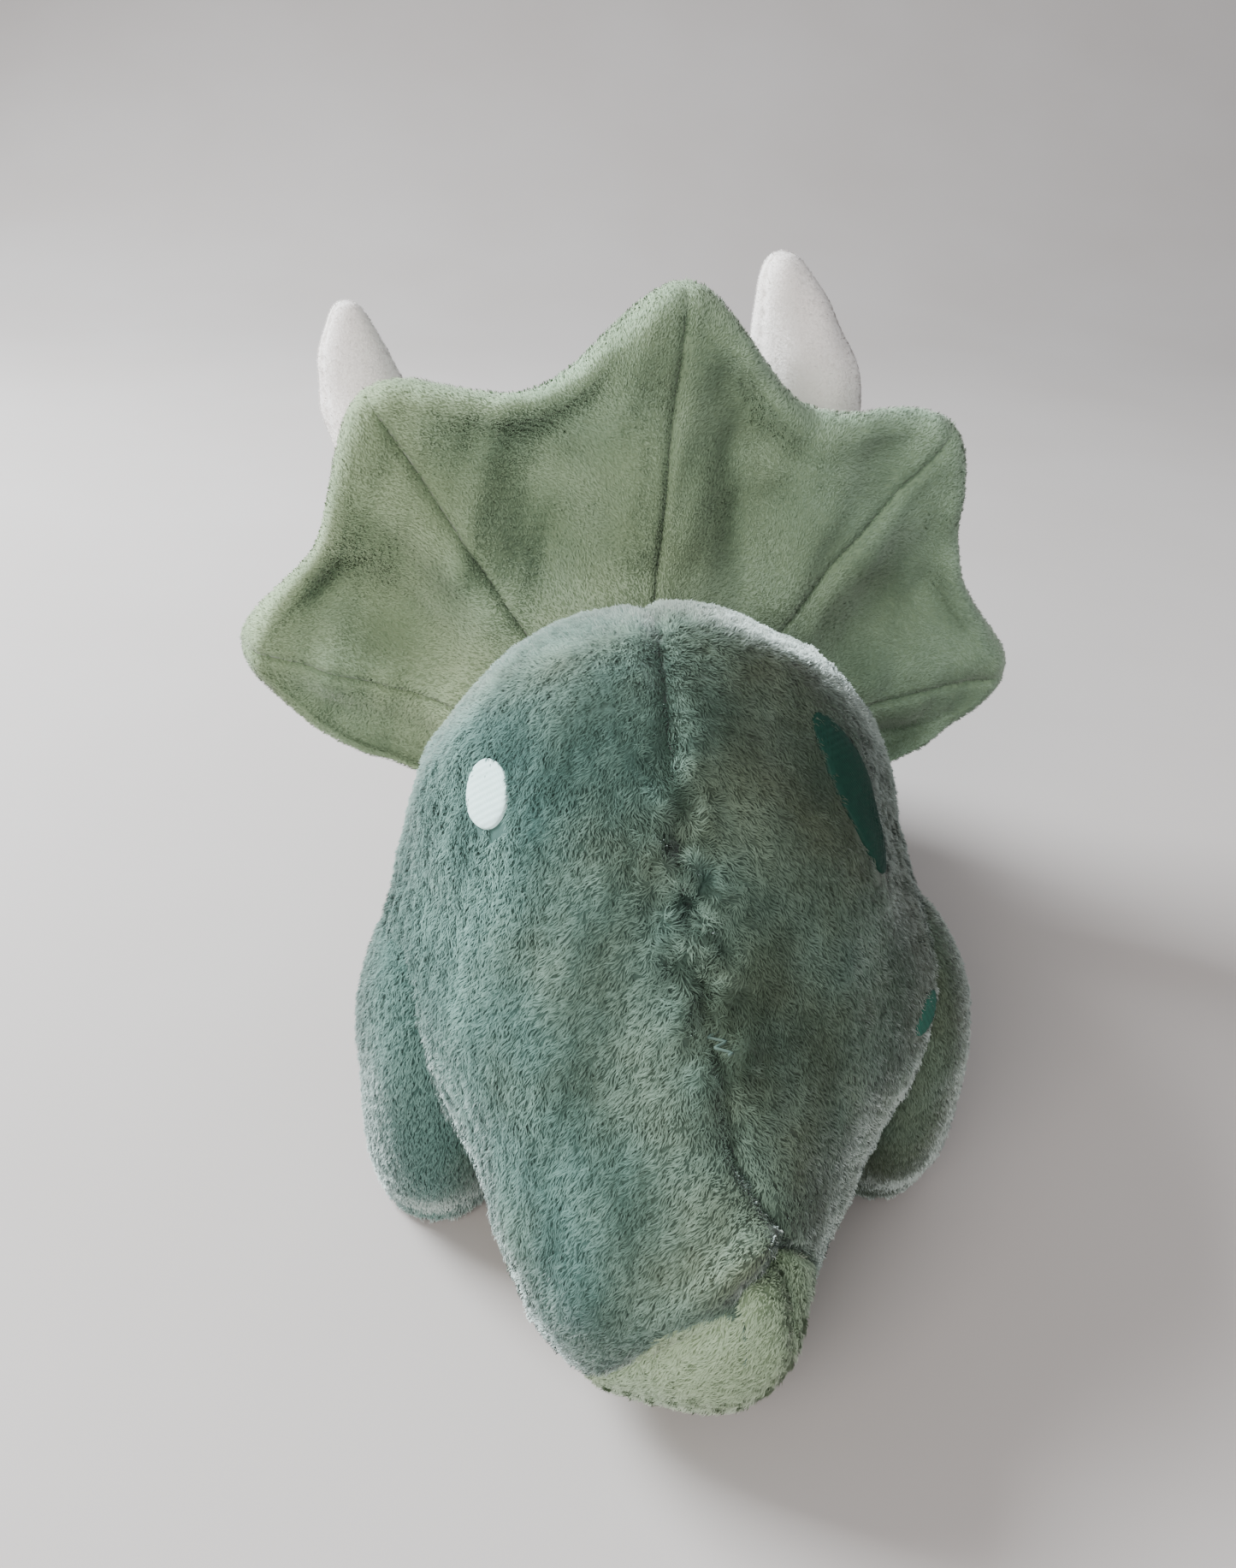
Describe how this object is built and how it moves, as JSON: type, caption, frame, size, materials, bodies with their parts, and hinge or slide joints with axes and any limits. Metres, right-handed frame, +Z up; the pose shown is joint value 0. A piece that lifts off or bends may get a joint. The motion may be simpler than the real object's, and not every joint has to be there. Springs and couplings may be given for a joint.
{
  "type": "stuffed dinosaur",
  "caption": "Stuffed horned dinosaur in green plush with a fan-shaped frill, cream horns, fat tail and stubby legs, standing on flat soles.",
  "frame": {"origin": "middle of the footprint on the surface it stands on", "axes": "+Z up, -Y the way it faces, +X its left side"},
  "size_m": [0.2281, 0.2762, 0.196],
  "materials": {
    "dark_plush": "long-pile minky, soft and matt with a pale sheen",
    "light_plush": "short-pile minky, soft and matt with a pale sheen",
    "cream_plush": "short velour, matt",
    "filling": "loose polyester fibre",
    "mint_thread": "satin-stitched polyester thread",
    "deep_green_thread": "satin-stitched polyester thread",
    "mid_green_thread": "satin-stitched polyester thread",
    "face_thread": "satin-stitched polyester thread",
    "black_eye": "polished dome",
    "eye_washer": "moulded"
  },
  "bodies": {
    "torso": {"back_panel_left": "dark_plush", "back_panel_right": "dark_plush", "belly_panel": "light_plush", "closure_stitches": "mint_thread", "spot_left": "mint_thread", "spot_right_front": "deep_green_thread", "spot_right_rear": "mid_green_thread", "torso_filling": "filling"},
    "head": {"chin_panel": "light_plush", "eye_left": "black_eye", "eye_right": "black_eye", "eye_washer_left": "eye_washer", "eye_washer_right": "eye_washer", "head_filling": "filling", "head_panel_left": "dark_plush", "head_panel_right": "dark_plush", "mouth_stitch": "face_thread", "nose_horn_filling": "filling", "nose_horn_skin": "cream_plush", "nostril_left": "face_thread", "nostril_right": "face_thread"},
    "frill": {"frill_batting": "filling", "frill_front_left": "light_plush", "frill_front_right": "light_plush", "frill_gore_left_lower": "light_plush", "frill_gore_left_side": "light_plush", "frill_gore_left_top": "light_plush", "frill_gore_right_lower": "light_plush", "frill_gore_right_side": "light_plush", "frill_gore_right_top": "light_plush"},
    "horn_left": {"horn_left_filling": "filling", "horn_left_skin": "cream_plush"},
    "horn_right": {"horn_right_filling": "filling", "horn_right_skin": "cream_plush"},
    "tail": {"tail_filling": "filling", "tail_panel_left": "dark_plush", "tail_panel_right": "dark_plush", "tail_under_panel": "light_plush"},
    "front_leg_left": {"front_leg_left_filling": "filling", "front_leg_left_skin": "dark_plush", "front_leg_left_sole": "light_plush"},
    "front_leg_right": {"front_leg_right_filling": "filling", "front_leg_right_skin": "dark_plush", "front_leg_right_sole": "light_plush"},
    "hind_leg_left": {"hind_leg_left_filling": "filling", "hind_leg_left_skin": "dark_plush", "hind_leg_left_sole": "light_plush"},
    "hind_leg_right": {"hind_leg_right_filling": "filling", "hind_leg_right_skin": "dark_plush", "hind_leg_right_sole": "light_plush"}
  },
  "joints": [
    {"name": "head_nod", "type": "hinge", "parent": "torso", "child": "head", "pos_m": [0.0003, -0.0369, 0.072], "axis": [1, 0, 0], "range_deg": [-8, 10], "stiffness_Nm_per_rad": 1.2},
    {"name": "frill_flex", "type": "hinge", "parent": "head", "child": "frill", "pos_m": [0.0003, -0.0389, 0.1], "axis": [1, 0, 0], "range_deg": [-8, 12], "stiffness_Nm_per_rad": 0.15},
    {"name": "horn_left_flex", "type": "hinge", "parent": "head", "child": "horn_left", "pos_m": [0.0543, -0.0799, 0.118], "axis": [0, 1, 0], "range_deg": [-15, 15], "stiffness_Nm_per_rad": 0.03},
    {"name": "horn_right_flex", "type": "hinge", "parent": "head", "child": "horn_right", "pos_m": [-0.0422, -0.0799, 0.128], "axis": [0, 1, 0], "range_deg": [-15, 15], "stiffness_Nm_per_rad": 0.03},
    {"name": "tail_wag", "type": "hinge", "parent": "torso", "child": "tail", "pos_m": [0.0023, 0.0771, 0.056], "axis": [0, 0, 1], "range_deg": [-10, 10], "stiffness_Nm_per_rad": 0.6},
    {"name": "hind_leg_left_swing", "type": "hinge", "parent": "torso", "child": "hind_leg_left", "pos_m": [0.0593, 0.0491, 0.044], "axis": [1, 0, 0], "range_deg": [-10, 10], "stiffness_Nm_per_rad": 0.8},
    {"name": "hind_leg_right_swing", "type": "hinge", "parent": "torso", "child": "hind_leg_right", "pos_m": [-0.0537, 0.0491, 0.044], "axis": [1, 0, 0], "range_deg": [-10, 10], "stiffness_Nm_per_rad": 0.8},
    {"name": "front_leg_left_swing", "type": "hinge", "parent": "torso", "child": "front_leg_left", "pos_m": [0.0488, -0.0169, 0.036], "axis": [1, 0, 0], "range_deg": [-10, 10], "stiffness_Nm_per_rad": 0.8},
    {"name": "front_leg_right_swing", "type": "hinge", "parent": "torso", "child": "front_leg_right", "pos_m": [-0.0432, -0.0169, 0.036], "axis": [1, 0, 0], "range_deg": [-10, 10], "stiffness_Nm_per_rad": 0.8}
  ]
}
